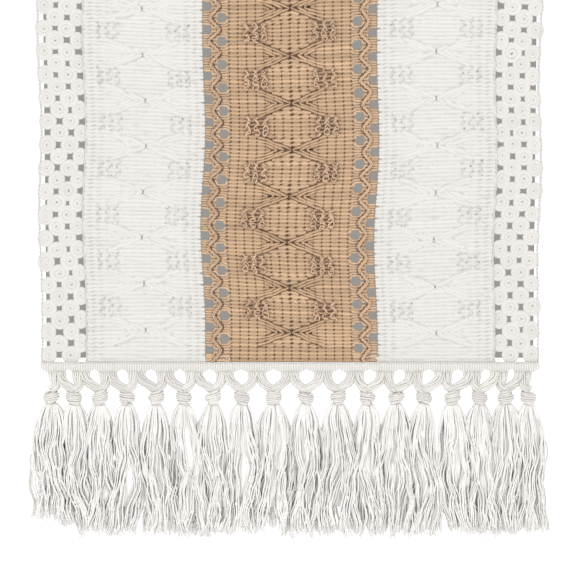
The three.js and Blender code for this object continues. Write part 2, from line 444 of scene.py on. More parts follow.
# Rows pushed away from each hole: a row between a hole's middle and half the hole spacing lands
# between the hole's rim and that half spacing. Returns the shift and how much the rows are
# squeezed.
def partRows(x, s, strip):
    shift, squeeze = np.zeros_like(s), np.ones_like(s)
    half = holeSpacing / 2
    for hole in holeColumns:
        if hole["strip"] != strip:
            continue
        u = np.clip(np.abs(x - hole["at"]) / hole["halfWidth"], 0, 1)
        closing = np.clip((clothEnd - np.abs(s) - 2) / 5, 0, 1)  # no holes beside the tape
        height = hole["halfHeight"] * (1 - u ** hole["power"]) * closing
        local = (s - hole["phase"] * pitch + half) % holeSpacing - half
        shift += np.sign(local) * height * (1 - np.abs(local) / half)
        squeeze *= 1 - height / half
    return shift, squeeze


# Weft rows as flattened yarns. x is where each row is sampled, rows its place in rows. A row is
# thin where a column of stitches ties it down and where the rows bunch between holes.
def ribs(x, rows, strip, rowShift=0.0, lift=0.0, halfShare=1.0, pinch=0.6, columnsFrom=0.0):
    x = np.broadcast_to(x, (len(rows), np.shape(x)[-1])).astype(float)
    base = rows[:, None] * pitch + rowShift + 0 * x
    shift, squeeze = partRows(x, base, strip)
    offset = np.abs((x - columnsFrom) / knit["columnPitch"] % 1 - 0.5) * 2  # 1 on a column, 0 between
    tied = np.clip((offset - knit["tiedFrom"]) / (1 - knit["tiedFrom"]), 0, 1)
    seed = dice.uniform(0, 2 * pi, (len(rows), 2))
    slow, quick = knit["wobbleWaves"]
    wave = np.sin(x / slow + seed[:, :1]) + 0.6 * np.sin(x / quick + seed[:, 1:])
    rough = dice.normal(0, 1, x.shape)
    s = base + shift + knit["wobble"] * wave * squeeze
    fromMiddle = np.abs(x - columnsFrom) / knit["columnPitch"]
    fromCorner = motifLength / 2 - np.abs((base + motifLength / 2) % motifLength - motifLength / 2)
    column, reach = knit["slackColumns"]
    loose = np.clip((reach - np.abs(fromMiddle - column)) / 0.4, 0, 1)
    loose = loose * np.clip((knit["slackReach"] - fromCorner) / 1.5, 0, 1)
    corner = np.abs((np.floor(base / motifLength) + 0.5) * motifLength)
    clear = (np.abs(corner - bendStart) > knit["curlMargin"]) * (clothEnd - corner > knit["curlMargin"])
    loose = loose * clear * knit["slack"][strip]
    if strip == "white":  # rounded ends beside the tan, and stitches that only show beside the lace
        inward = np.abs(x) - tanHalf
        bulb = 0.1 * np.exp(-(((inward - 0.6) / 0.5) ** 2))
        narrowing = knit["edgeNarrowing"] * np.clip(1 - inward / knit["edgeTaper"], 0, 1)
        halfShare = halfShare * (1 - narrowing + bulb)
        tied = tied * np.clip(fromMiddle - 4.4, 0.15, 1)
    # Ties, slack and chance make a row narrower, lower and flatter.
    half = pitch / 2 * knit["ribFill"][strip] * squeeze * (1 - (1 - pinch) * tied) * halfShare
    half = half * (1 + 0.06 * rough) * (1 - 0.25 * loose * (1 + 0.6 * rough * tied))
    n = lift + 0.2 - 0.15 * tied + 0.05 * wave + 0.06 * rough - 0.25 * loose
    depth = knit["ribDepth"][strip] * np.sqrt(squeeze) * (1 - 0.2 * tied)
    half = half * np.ones_like(x)
    half[:, [0, -1]] *= 0.75  # blunt ends
    # Painted shade: a row's sides darken by grooveShade, and more where a column ties it down, where rows
    # are slack under the curls and under a chevron's arms.
    sloped = np.clip(lift / knit["armLift"][strip], 0, 1) * knit["slopeShade"][strip]
    shade = knit["grooveShade"][strip]
    dark = shade + (1 - shade) * np.clip(tied * (0.8 + 0.4 * rough) + loose + sloped, 0, 1)
    return tubes(np.stack([x, s, n + 0 * x], -1), (0, 0, 1), half, depth, dark=dark)


# Row places, in rows from the runner's middle, whose middles lie between two places along s.
def rowsBetween(low, high):
    first = np.ceil(low / pitch - 0.5)
    last = np.floor(high / pitch - 0.5)
    return np.arange(first, last + 1) + 0.5


# Rows of a band with the chevron motif. Every twelfth row pair is an apex: the four rows on each
# side of it run straight in from the band's edge and then slope together in nested points, and
# short straight rows fill the hexagon between two apexes. The other rows run right across.
def motifBand(xs, rows, middle, strip, pinch, edgeShift=None):
    perMotif = knit["rowsPerMotif"]
    fromApex = (rows + perMotif / 2) % perMotif - perMotif / 2
    straight = rows[np.abs(fromApex) > max(knit["armTips"])]
    shift = 0.0 if edgeShift is None else edgeShift(xs, straight)
    parts = [ribs(xs, straight, strip, shift, pinch=pinch, columnsFrom=middle)]
    slope = knit["armSlope"]
    for depth, tip in knit["armTips"].items():
        mine = np.abs(fromApex) == depth
        chosen, sign = rows[mine], np.sign(fromApex[mine])[:, None]
        for hand in (-1, 1):
            away = hand * (xs - middle)
            lattice = xs[away > tip + 0.5]
            end = middle + hand * tip
            lattice = np.append(lattice, end) if hand < 0 else np.insert(lattice, 0, end)
            far = np.abs(lattice - middle) - tip
            waver = 0.3 * np.sin(far * 0.6 + dice.uniform(0, 2 * pi, chosen.shape)[:, None])
            fall = far * slope + 0.2 + waver * np.clip(far / 2, 0, 1)
            sloped = fall < depth * pitch
            offset = sign * (np.minimum(fall, depth * pitch) - depth * pitch)
            if edgeShift is not None:
                offset = offset + edgeShift(lattice, chosen)
            lift = knit["armLift"][strip] * np.clip((depth * pitch - fall) / 0.8, 0, 1)
            halfShare = np.where(sloped, np.clip(0.4 + fall / 1.4, 0.4, knit["armShare"][strip]), 1.0)
            parts.append(ribs(lattice, chosen, strip, offset, lift, halfShare, pinch, middle))
        reach = knit["armTips"][3.5] + (depth - 0.6) * pitch / slope
        if reach > 3:
            short = np.linspace(-reach, reach, 2 * int(reach / 1.7) + 1)
            towards = -sign * np.clip(1.1 - 0.3 * depth, 0, 1) * (1 - (short / reach) ** 2)
            parts.append(ribs(short + middle, chosen, strip, towards, 0.0, 1.0, pinch, middle))
    return parts


# The hexagons' corners, in motifs along s: halfway between apexes, and clear of a section's ends.
def curlPlaces(low, high):
    first = np.ceil((low + knit["curlMargin"]) / motifLength - 0.5)
    last = np.floor((high - knit["curlMargin"]) / motifLength - 0.5)
    return np.arange(first, last + 1) + 0.5


# Short curled threads at the hexagons' corners: each wanders from side to side over the rows.
def curls(rowsLow, rowsHigh, middle, strands, strip):
    apexes = curlPlaces(rowsLow, rowsHigh)
    along = np.linspace(-knit["curlHalfLength"], knit["curlHalfLength"], 15)
    parts = []
    for hand in (-1, 1):
        for column in knit["curlColumns"]:
            for strand in range(strands):
                phase = dice.uniform(0, 2 * pi, (len(apexes), 1))
                swing = dice.uniform(1.1, 2.0, (len(apexes), 1))
                beat = dice.uniform(0.7, 1.0, (len(apexes), 1))
                home = middle + hand * column * knit["columnPitch"]
                x = home + swing * np.sin(along / beat + phase + pi * strand)
                lift, swell = knit["curlLift"][strip]
                n = lift + swell * np.cos(along / beat + phase) + 0 * x
                s = apexes[:, None] * motifLength + along + 0.8 * np.cos(along / 0.5 + 2 * phase)
                radius = knit["curlRadius"][strip]
                parts.append(tubes(np.stack([x, s, n], -1), (0, 0, 1), radius, radius))
    return parts


warp = {
    "pillar": (-0.55, 0.9),  # height and half width of the thread behind a column of stitches
    "filler": (-0.72, 2.45),  # and of the one between two columns
    "halfThickness": 0.32,
    "waver": 0.16,
    "bedHalfLength": knit["curlHalfLength"] + 0.6,
    "bedHalfWidth": (0.95, 0.4),  # and how much it varies
    "bedHeight": 0.6,
}


# Threads that lie in the hollows under each column of curls; their darker colour is painted shade.
def curlShadeBeds(low, high, middle):
    apexes = curlPlaces(low, high)
    along = np.linspace(-warp["bedHalfLength"], warp["bedHalfLength"], 9)
    width = warp["bedHalfWidth"][0] + warp["bedHalfWidth"][1] * np.sin(along * 2.3)
    parts = []
    for hand in (-1, 1):
        for column in knit["curlColumns"]:
            s = apexes[:, None] * motifLength + along
            x = middle + hand * column * knit["columnPitch"] + 0.5 * np.sin(s * 1.7) + 0 * s
            parts.append(tubes(np.stack([x, s, warp["bedHeight"] + 0 * s], -1), (0, 0, 1), width, 0.3))
    return parts


# Warp threads behind the rows, one down each place in xs.
def pillars(xs, low, high, depth, halfSide):
    bend = [sign * edge for sign in (-1, 1) for edge in np.linspace(bendStart, bendEnd, 6)]
    s = np.sort(np.concatenate([np.arange(low + 1, high - 1, pitch * 2), [low, high], bend]))
    s = s[(s >= low) & (s <= high)]
    s = s[np.append(True, np.diff(s) > 0.2)]
    x = np.asarray(xs, float)[:, None] + warp["waver"] * np.sin(s * pi / pitch / 2 + 0.8)
    centre = np.stack([x, s + 0 * x, depth + 0 * x], -1)
    return tubes(centre, (0, 0, 1), halfSide, warp["halfThickness"])


# Two threads twisted round each other along a path.
def plaited(path, low, high, loop, swing, radius, lift):
    s = np.arange(low, high, loop / 4.5)
    parts = []
    for turn in (0, pi):
        phase = 2 * pi * s / loop + turn + 0.5 * np.sin(s / 9.7)
        x = path(s) + swing * np.sin(phase) * (1 + 0.3 * np.sin(s / 3.9 + turn))
        n = lift + 0.55 * swing * np.cos(phase)
        parts.append(tubes(np.stack([x, s, n], -1)[None], (0, 0, 1), radius, radius))
    return parts


# A white strip's rows gather in threes beside the tan: the outer two of each three lean in over the
# last few millimetres, which leaves a notch between one group and the next.
def groupedEnds(hand):
    # How far each row leans at each place, in millimetres along s.
    def shift(xs, rows):
        near = np.clip(1 - (hand * xs - tanHalf) / knit["edgeTaper"], 0, 1)
        towards = 1 - np.mod(np.floor(rows), 3)[:, None]
        return towards * 0.28 * near
    return shift


# Sample places on and beside each column of stitches, count columns each side of the middle.
def columnLattice(middle, count, offsets):
    columns = middle + knit["columnPitch"] * np.arange(-count, count + 1)
    return np.sort((columns[:, None] + np.array(offsets)).ravel())


sections = {"top": (-bendStart, bendStart), "front": (-clothEnd, -bendStart), "rear": (bendStart, clothEnd)}


# Top pieces ride on the table section; hanging ones stay where they are made, their transform baked in.
def follow(piece, section):
    if section == "top":
        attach(piece, "table_section")
        return piece
    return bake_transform(piece)


# One section's piece of cloth: its yarns laid on the cloth, its finish, and what it stands for.
def clothPiece(name, parts, finish, section, stands=None, smooth=True):
    piece = follow(pieceOf(f"{name}_{section}", parts, finishes[finish], onCloth, smooth), section)
    if stands:
        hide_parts(f"{stands}_{section}")
    return piece


# Sample places across one ladder, from the body's edge to the white strip, left to right.
def ladderRun(hand):
    inner = knit["columnPitch"] * knit["bodyColumns"] + 0.9
    shares = np.array([-1.0, -0.9, -0.75, -0.4, 0, 0.4, 0.75, 0.9, 1.0])
    holes = [ladders[ladder]["at"] + ladders[ladder]["halfWidth"] * shares for ladder in ("outer", "inner")]
    run = np.concatenate([holes[0], holes[1], [inner + 0.1, ladders["chainAt"] + 0.3, tanHalf - 0.2]])
    run = np.sort(run[(run > inner) & (run < tanHalf - 0.1)])
    return hand * run if hand > 0 else -run[::-1]


# The tan strip: the motif between two ladders of holes, the warp behind, and on each ladder a chain
# whose path is a zigzag, the arcsine of a cosine, with rounded turns.
def tanStrip(section):
    low, high = sections[section]
    rows = rowsBetween(low, high)
    tie = knit["tieHalf"]
    body = motifBand(columnLattice(0, knit["bodyColumns"], (-tie, 0, tie)), rows, 0.0, "body", 0.5)
    knitted = clothPiece("tan_knit", body, "tan", section, "tan_strip", smooth=False)
    ladderParts = [ribs(ladderRun(hand), rows, "ladder", pinch=0.9) for hand in (-1, 1)]
    ladder = clothPiece("tan_ladders", ladderParts, "tan", section)
    columns = columnLattice(0, knit["bodyColumns"], (0,))
    behind = [pillars(columns, low, high, *warp["pillar"])]
    between = columns[:-1] + knit["columnPitch"] / 2
    filler = [pillars(between, low, high, *warp["filler"])] + curlShadeBeds(low, high, 0.0)
    # Painted shade: the ground threads between columns and the curl beds take the darker tan.
    ground = clothPiece("tan_ground", filler, "tanGroundShade", section)
    chains = []
    for hand in (-1, 1):
        phase = ladders["outerPhase"][hand] * pitch

        # The chain's place across the runner, for places along it.
        def path(s):
            wave = np.arcsin(0.95 * np.cos(2 * pi * (s - phase) / holeSpacing)) / np.arcsin(0.95)
            swing = ladders["chainSwing"] * (1 + 0.16 * np.sin(s / 11.3 + hand) + 0.1 * np.sin(s / 4.1))
            return hand * (ladders["chainAt"] - swing * wave)
        chains += plaited(path, low, high, **ladders["chain"])
        s = np.arange(low, high, holeSpacing / 14)
        # Painted shadow: a near black thread along one side of the chain.
        shaded = path(s) - hand * (0.75 + 0.35 * np.sin(s * 0.9))  # a dark thread beside the chain
        behind.append(tubes(np.stack([shaded, s, 0.5 + 0 * s], -1)[None], (0, 0, 1), 1.5, 0.4))
    # Painted shade: the tan's warp threads, real threads seen in the gaps and ties between rows, are
    # coloured near black brown.
    backing = clothPiece("tan_shade_threads", behind, "tanPillarShade", section)
    raised = chains + curls(low, high, 0.0, 2, "body")
    threads = clothPiece("tan_chains", raised, "tanRaisedLit", section)
    return [knitted, ladder, backing, ground, threads]


# A white strip: the same motif in finer relief, with its rows gathered in threes beside the tan.
def whiteStrip(section, hand):
    low, high = sections[section]
    rows = rowsBetween(low, high)
    handName = "left" if hand < 0 else "right"
    middle = hand * (tanHalf + laceInner) / 2
    count, halfPitch = knit["whiteColumns"], knit["columnPitch"] / 2
    lattice = columnLattice(abs(middle), count, (0, halfPitch))[:-1]
    edge = tanHalf + np.array([-0.1, 0.5, 1.4, 2.4, 3.4])
    xs = np.concatenate([edge, lattice, [laceInner - 1.6, laceInner - 0.15]])
    xs = xs if hand > 0 else -xs[::-1]
    body = motifBand(xs, rows, middle, "white", 0.75, groupedEnds(hand))
    knitted = clothPiece(f"white_knit_{handName}", body, "white", section,
                         f"white_strip_{handName}", smooth=False)
    columns = columnLattice(middle, count, (0,))
    behind = [pillars(columns, low, high, *warp["pillar"])]
    behind.append(pillars(columns[:-1] + halfPitch, low, high, *warp["filler"]))
    # Painted light: the white warp threads are lighter than the knit, which lifts the shade in the gaps
    # between rows.
    backing = clothPiece(f"white_ground_{handName}", behind, "whiteGroundLit", section)
    raised = curls(low, high, middle, 1, "white")
    threads = clothPiece(f"white_threads_{handName}", raised, "whiteRaisedLit", section)
    return [knitted, backing, threads]


lace = {
    "columns": [(24.3, 1, 4.5), (18.0, 0, 5.25), (11.2, 1, 5.25), (4.6, 0, 4.7)],  # in from the edge,
    # whether shifted by half a spacing, and a disc's half width
    "discHalf": 5.25,  # along the cloth
    "placeSpread": 0.25,
    "sizeSpread": 0.07,
    "yarnPitch": 1.75,
    "yarnHalf": 1.36,
    "yarnDepth": 0.22,
    "yarnShade": 0.4,
    "stepsPerTurn": 15,
    "edgeAt": 0.6,
    "endMargin": 1.2,
    "edging": {"loop": pitch * 2, "swing": 0.35, "radius": 0.5, "lift": 0.0},
    "joining": {"loop": pitch * 2, "swing": 0.35, "radius": 0.45, "lift": 0.35},
}


# Flat coils of yarn in a diagonal lattice. Neighbours touch, which leaves four-pointed holes
# between them. Each is one full turn and then a spiral whose radius shrinks evenly with the angle.
def discs(low, high, hand):
    turns = lace["discHalf"] / lace["yarnPitch"]
    angle = np.linspace(0, 2 * pi * turns, int(turns * lace["stepsPerTurn"]))
    share = 1 - 0.93 * np.clip(angle - 2 * pi, 0, None) / (angle[-1] - 2 * pi)
    parts = []
    for fromEdge, shifted, discAcross in lace["columns"]:
        offset = shifted * holeSpacing / 2
        first = np.ceil((low + lace["endMargin"] - offset) / holeSpacing)
        last = np.floor((high - lace["endMargin"] - offset) / holeSpacing)
        middles = (np.arange(first, last + 1) * holeSpacing + offset)[:, None]
        across, along = discAcross - lace["yarnHalf"] * 0.6, lace["discHalf"] - lace["yarnHalf"] * 0.6
        start = dice.uniform(0, 2 * pi, (len(middles), 1))
        shape = 1 + lace["sizeSpread"] * dice.normal(0, 1, (2, len(middles), 1))
        place = halfWidth - fromEdge + dice.normal(0, lace["placeSpread"], middles.shape)
        x = hand * (place + across * shape[0] * share * np.cos(angle + start))
        s = middles + along * shape[1] * share * np.sin(angle + start)
        s = np.clip(s, low + 0.3, high - 0.3)
        n = 0.15 + 0.12 * np.sin(angle + 5 * start) + 0 * x
        # Painted shade on each coil's sides, as strong as yarnShade.
        parts.append(tubes(np.stack([x, s, n], -1), (0, 0, 1), lace["yarnHalf"], lace["yarnDepth"],
                           dark=lace["yarnShade"]))
    return parts


# A lace edge: its discs, and a plaited thread down each side that follows them.
def laceEdge(section, hand):
    low, high = sections[section]
    handName = "left" if hand < 0 else "right"
    knitted = clothPiece(f"lace_knit_{handName}", discs(low, high, hand), "white", section,
                         f"lace_edge_{handName}", smooth=False)

    # The outer thread's place and the inner one's, which sway with the discs' spacing.
    def edge(s):
        return hand * (halfWidth - lace["edgeAt"] + 0.25 * np.cos(2 * pi * s / holeSpacing))

    def inner(s):
        return hand * (laceInner + 0.5 - 0.35 * np.cos(2 * pi * s / holeSpacing))

    raised = plaited(edge, low, high, **lace["edging"]) + plaited(inner, low, high, **lace["joining"])
    threads = clothPiece(f"lace_threads_{handName}", raised, "whiteRaisedLit", section)
    return [knitted, threads]


cloth = {}
for section in sections:
    cloth[section] = tanStrip(section)
    for hand in (-1, 1):
        cloth[section] += whiteStrip(section, hand) + laceEdge(section, hand)
    print(section, "section knitted:", len(cloth[section]), "pieces")

knots = {
    "upperCount": 17,
    "lowerCount": 18,
    "upperHalfRow": 143,
    "lowerHalfRow": 146.5,
    "endCrowding": 0.1,
    "handTiedShift": 0.9,
}


# Knots spread over +-halfRow, closer together at the ends and a little uneven, as in the CAD.
def knotRow(count, halfRow):
    n = np.arange(count)
    u = 2 * n / (count - 1) - 1
    spread = halfRow * (u * (1 + knots["endCrowding"]) - knots["endCrowding"] * u**3)
    return spread + knots["handTiedShift"] * np.sin(5.3 * n + count) * (1 - u**4)


upperX = knotRow(knots["upperCount"], knots["upperHalfRow"])
lowerX = knotRow(knots["lowerCount"], knots["lowerHalfRow"])
tape = {
    "scallopRise": 3.1,
    "ribPitch": 1.5,
    "ribRelief": 0.34,
    "samplesPerRib": 4,
    "ring": 14,  # points round the band
    "squareness": 0.55,  # the power that makes its section nearly a rectangle
    "seamLoop": 3.1,
    "seamRadius": 0.42,
    "seamSteps": 520,
}


# A point of the fringe: out is how far it stands outside the cloth's middle.
def hangingAt(side, x, out, z):
    return np.stack(np.broadcast_arrays(x, side * (clothMiddle + out), z), -1)


# A rounded section's sine or cosine, pushed towards a rectangle's.
def squared(wave):
    return np.sign(wave) * np.abs(wave) ** tape["squareness"]


# A flat band with fine upright ribs. Its lower edge is a row of scallops: in each one the edge
# rises with the square of the distance from the scallop's middle.
def hemTape(end, side):
    steps = int(2 * halfWidth / tape["ribPitch"] * tape["samplesPerRib"])
    x = np.linspace(-halfWidth, halfWidth, steps)
    notches = np.concatenate([[-halfWidth], (upperX[1:] + upperX[:-1]) / 2, [halfWidth]])
    own = np.clip(np.searchsorted(notches, x) - 1, 0, len(upperX) - 1)
    reach = np.where(x < upperX[own], upperX[own] - notches[own], notches[own + 1] - upperX[own])
    bottom = tapeBottom + tape["scallopRise"] * ((x - upperX[own]) / reach) ** 2
    angle = pi / 2 + 2 * pi * np.arange(tape["ring"]) / tape["ring"]
    relief = 1 + tape["ribRelief"] * np.cos(2 * pi * x / tape["ribPitch"])
    middleZ, halfZ = (tapeTop + bottom) / 2, (tapeTop - bottom) / 2
    z = middleZ[:, None] + halfZ[:, None] * squared(np.cos(angle)) * side
    out = (tapeHalfThickness * relief)[:, None] * squared(np.sin(angle)) * 0.9
    points = hangingAt(side, x[:, None], out, z)
    flat = tubes(hangingAt(side, x, 0, middleZ)[None], (0, side, 0), 1, 1, sides=tape["ring"], tone=0)
    flat["points"] = points.reshape(-1, 3)
    # Painted shade: darker in the hollows between the tape's ribs.
    flat["paintedShade"] = np.repeat(0.5 - 0.5 * np.cos(2 * pi * x / tape["ribPitch"]), tape["ring"])
    seam = np.linspace(-halfWidth, halfWidth, tape["seamSteps"])
    twisted = []
    for turn in (0, pi):
        phase = 2 * pi * seam / tape["seamLoop"] + turn
        standing, height = 0.25 * np.sin(phase), 0.35 * np.cos(phase)
        line = hangingAt(side, seam, tapeHalfThickness * 0.75 + standing, tapeTop - 0.5 + height)
        twisted.append(tubes(line[None], (0, side, 0), tape["seamRadius"], tape["seamRadius"]))
    band = pieceOf(f"hem_band_{end}", [flat], finishes["hem"])
    stitches = pieceOf(f"hem_stitching_{end}", twisted, finishes["hem"])
    for piece in (band, stitches):
        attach(piece, f"{end}_drop")
    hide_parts(f"hem_tape_{end}")
    return [band, stitches]


net = {
    "neckHalf": 2.4,  # how far each half bundle's middle is from the scallop's where it leaves the tape
    "bundleHalf": 2.4,
    "bundleTaper": 0.22,  # how much thinner a bundle is where it meets its knot
    "bundleStrands": 10,
    "strandRadius": 0.92,
    "steps": 15,
    "tuck": 1.5,  # how far a bundle runs up behind the tape
    "neck": (2.3, 5.8),  # its first handle, across from the scallop's middle and down from the tape
    "approach": (6.0, 5.4),  # its second, across from the knot's middle and down from the tape
    "foot": (0.6, 0.9, 4.0),  # its end, across, out and up from the knot's middle
    "unevenness": 0.45,
    "crossing": 0.5,  # how far the two bundles at a knot stand in front of and behind each other
    "ballDepth": 14.3,  # a lower knot's middle, down from the tape's lower edge
    "ballRing": (2.55, 1.95),  # the ring that the knot's turns follow, across and outwards
    "ballRise": 1.6,
    "turnRadius": 2.25,
    "turnStrands": 7,
    "turnStrandRadius": 0.88,
    "turns": 1.5,
    "turnSteps": 36,
    "tilt": (0.34, 0.1),  # and its spread
}


# Cubic curves through a and d with handles b and c, sampled evenly in the parameter.
def bezier(a, b, c, d, steps):
    t = np.linspace(0, 1, steps)[:, None]
    a, b, c, d = (p[..., None, :] for p in (a, b, c, d))
    return (1 - t) ** 3 * a + 3 * t * (1 - t) ** 2 * b + 3 * t**2 * (1 - t) * c + t**3 * d


# A bundle of yarns round each line: their middles lie on an ellipse about it, over an arc of it,
# and turn round the line by twist radians from one end to the other. A thick core fills the inside.
def bundle(lines, out, count, halfSide, halfOut, radius, twist=0.0, arc=(0, 2 * pi)):
    along = np.gradient(lines, axis=1)
    side = unit(np.cross(along, np.broadcast_to(out, lines.shape)))
    upright = unit(np.cross(side, along))
    whole = arc[1] - arc[0] > 6.2
    angle = np.linspace(arc[0], arc[1], count, endpoint=not whole)[:, None]
    angle = angle + twist * np.linspace(0, 1, lines.shape[1])
    angle = angle[None, :, :, None] + dice.normal(0, 0.07, (len(lines), count, 1, 1))
    radial = side[:, None] * np.cos(angle) + upright[:, None] * np.sin(angle)
    halfSide, halfOut = (np.broadcast_to(half, lines.shape[1]) for half in (halfSide, halfOut))
    across = side[:, None] * np.cos(angle) * halfSide[:, None]
    yarns = lines[:, None] + across + upright[:, None] * np.sin(angle) * halfOut[:, None]
    shape = (-1,) + lines.shape[1:]
    outer = tubes(yarns.reshape(shape), radial.reshape(shape), radius, radius)
    core = tubes(lines, out, halfSide * 0.95, halfOut * 0.95, sides=6)
    return [outer, core]


# From each scallop two half bundles come down side by side and part, one to each lower knot.
def netBundles(side):
    parts = []
    for hand in (-1, 1):
        toX = lowerX[: len(upperX)] if hand < 0 else lowerX[1:]
        jitter = dice.normal(0, net["unevenness"], (3, len(upperX)))
        cross = net["crossing"] * hand * (-1) ** np.arange(len(upperX))
        top = hangingAt(side, upperX + hand * net["neckHalf"], 0 * upperX, tapeBottom + net["tuck"])
        across, down = net["neck"]
        neck = hangingAt(side, upperX + hand * across, cross, tapeBottom - down + jitter[0])
        across, down = net["approach"]
        approach = hangingAt(side, toX - hand * across, cross * 2, tapeBottom - down + jitter[1])
        across, out, up = net["foot"]
        footHeight = tapeBottom - net["ballDepth"] + up + 0.4 * jitter[2]
        foot = hangingAt(side, toX + hand * across, out + cross, footHeight)
        lines = bezier(top, neck, approach, foot, net["steps"])
        half = net["bundleHalf"] * (1 - net["bundleTaper"] * np.linspace(0, 1, net["steps"]))
        parts += bundle(lines, (0, side, 0), net["bundleStrands"], half, half * 0.86, net["strandRadius"],
                        twist=hand * 1.7)
    return parts


# Each lower knot: a fat bundle wound net["turns"] times round, a helix on an oval ring, tilted
# knot by knot.
def knotTurns(side):
    t = np.linspace(0, 1, net["turnSteps"])
    hands = np.where(np.arange(len(lowerX)) % 2 == 0, 1, -1)[:, None]
    angle = hands * 2 * pi * net["turns"] * t + dice.uniform(0, 2 * pi, (len(lowerX), 1))
    x = net["ballRing"][0] * np.cos(angle)
    out = net["ballRing"][1] * np.sin(angle)
    slant, spread = net["tilt"]
    tilt = hands * (slant + spread * dice.normal(0, 1, (len(lowerX), 1))) * (1 - 0.7 * t)
    z = net["ballRise"] * (1 - 2 * t) + tilt * x
    lines = hangingAt(side, lowerX[:, None] + x, out, tapeBottom - net["ballDepth"] + z)
    radial = unit(np.stack(np.broadcast_arrays(x, side * out, 0 * z), -1))
    return bundle(lines, radial, net["turnStrands"], net["turnRadius"], net["turnRadius"] * 0.92,
                  net["turnStrandRadius"], twist=0.5, arc=(-0.25, pi + 0.25))


# All of one end's bundles and knots, in one piece.
def knotNet(end, side):
    piece = pieceOf(f"knots_{end}", netBundles(side) + knotTurns(side), finishes["knot"])
    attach(piece, f"{end}_net")
    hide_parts(f"knot_net_{end}")
    return piece


tassels = {
    "clumps": 14,
    "strandsPerClump": 7,
    "radius": 0.55,
    "steps": 19,
    "halfWidth": 9.4,
    "halfDepth": 5.4,
    "coreShare": 0.7,
    "wave": 1.7,
    "strandWaves": (3.1, 9.3, 4.7),  # millimetres to a radian: two sideways, one in and out
    "tasselWave": 13,
    "lean": 1.8,
    "fan": (2.5, 0.8),  # how far a clump, and a strand in it, strays sideways by its tip
    "closeness": 0.17,  # of a clump's strands
    "startDepth": 16.9,
    "overhang": 1.5,  # how far a whole tassel's length passes the CAD's tips
    "shortening": 3.5,  # a tassel may be this much shorter
    "ragged": (2.6, 1.2),  # how uneven clumps and strands are at the tip
    "shortEnd": (112, 34, 9),  # the left end hangs shorter: from here, over this width, by this much
}


# Strands in clumps: they leave the knot together, swell to the skirt's full width over the first
# tenth of its length, and each clump then waves in its own way, with its strands close about it.
def tassel(end, side, n):
    clumps, each = tassels["clumps"], tassels["strandsPerClump"]
    t = np.linspace(0, 1, tassels["steps"]) ** 1.2
    number = np.arange(clumps)
    turn = 2 * pi * number / clumps + dice.uniform(0, 0.4, clumps)
    fromMiddle = dice.uniform(0.84, 1.0, clumps)
    place = np.stack([np.cos(turn) * fromMiddle, np.sin(turn) * fromMiddle], -1)
    place = place[:, None] + dice.normal(0, tassels["closeness"], (clumps, each, 2))
    place = place / np.maximum(1, np.linalg.norm(place, axis=-1, keepdims=True))
    width = tassels["halfWidth"] * dice.uniform(0.9, 1.08)
    swell = 0.15 + 0.85 * (1 - np.exp(-t * dice.uniform(8, 13))) + 0.1 * t**3
    full = tapeBottom - tassels["startDepth"] - tipHeight + tassels["overhang"]
    full = full - tassels["shortening"] * dice.uniform(0, 1) ** 2
    shortFrom, over, shorter = tassels["shortEnd"]
    full = full - shorter * np.clip((side * lowerX[n] - shortFrom) / over, 0, 1)
    clumpRagged, strandRagged = tassels["ragged"]
    length = full - np.abs(dice.normal(0, clumpRagged, (clumps, 1)))
    length = length + dice.normal(0, strandRagged, (clumps, each))
    phase = dice.uniform(0, 2 * pi, (4, clumps, 1, 1)) + dice.normal(0, 0.3, (4, clumps, each, 1))
    loose = tassels["wave"] * np.clip(t * 2.2, 0, 1)
    lean, bend = dice.normal(0, tassels["lean"]), dice.uniform(0, 2 * pi)
    clumpFan, strandFan = tassels["fan"]
    fan = dice.normal(0, clumpFan, (clumps, 1, 1)) + dice.normal(0, strandFan, (clumps, each, 1))
    drop = length[..., None] * t
    middle = lowerX[n] + lean * t**1.6 + loose * np.sin(drop / tassels["tasselWave"] + bend)
    quick, slow, outward = tassels["strandWaves"]
    sideways = 0.4 * np.sin(drop / quick + phase[0]) + 1.1 * np.sin(drop / slow + phase[1])
    x = middle + place[..., :1] * width * swell + fan * t**1.7 + loose * sideways
    out = place[..., 1:] * tassels["halfDepth"] * swell + loose * 0.7 * np.sin(drop / outward + phase[2])
    z = tapeBottom - tassels["startDepth"] - drop
    lines = hangingAt(side, x, out, z).reshape(clumps * each, -1, 3)
    strands = tubes(lines, (0, side, 0), tassels["radius"], tassels["radius"])
    inside = hangingAt(side, middle[0, 0], 0 * t, z[0, 0])[None, :-3]
    girth = tassels["coreShare"] * (swell * (1 - 0.75 * t**3))[:-3]
    core = tubes(inside, (0, side, 0), width * girth, tassels["halfDepth"] * girth, sides=10)
    piece = pieceOf(f"tassel_skirt_{end}_{n + 1:02d}", [strands, core], finishes["fringeLit"])
    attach(piece, f"{end}_tassel_{n + 1:02d}")
    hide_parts(f"tassel_{end}_{n + 1:02d}")
    return piece


fringes = {}
for end, side in ends.items():
    trims = hemTape(end, side)
    netPiece = knotNet(end, side)
    skirts = [tassel(end, side, n) for n in range(knots["lowerCount"])]
    fringes[end] = trims + [netPiece] + skirts
    print(end, "hem, knots and tassels made:", len(fringes[end]), "pieces")
studio = {
    "floorHeight": -0.74,
    "floorHalf": 9.0,
    "worldStrength": 0.84,
    "whiteStrength": 1.05,  # what the camera sees past the object
    "shadeGrey": (0.33, 0.315, 0.295),
    "shadeDepth": 3.8,  # how far inside the hanging cloth's middle the shade is
    "shadeInset": 3,
    "shadeFoot": 2,  # how far above the tape it ends
    "keyLight": {"place": (-0.9, -2.0, 1.35), "size": 0.7, "energy": 14},
    "fillLight": {"place": (1.4, -1.8, 0.3), "size": 1.4, "energy": 4},
    "lightAim": (0, -0.53, -0.2),
}


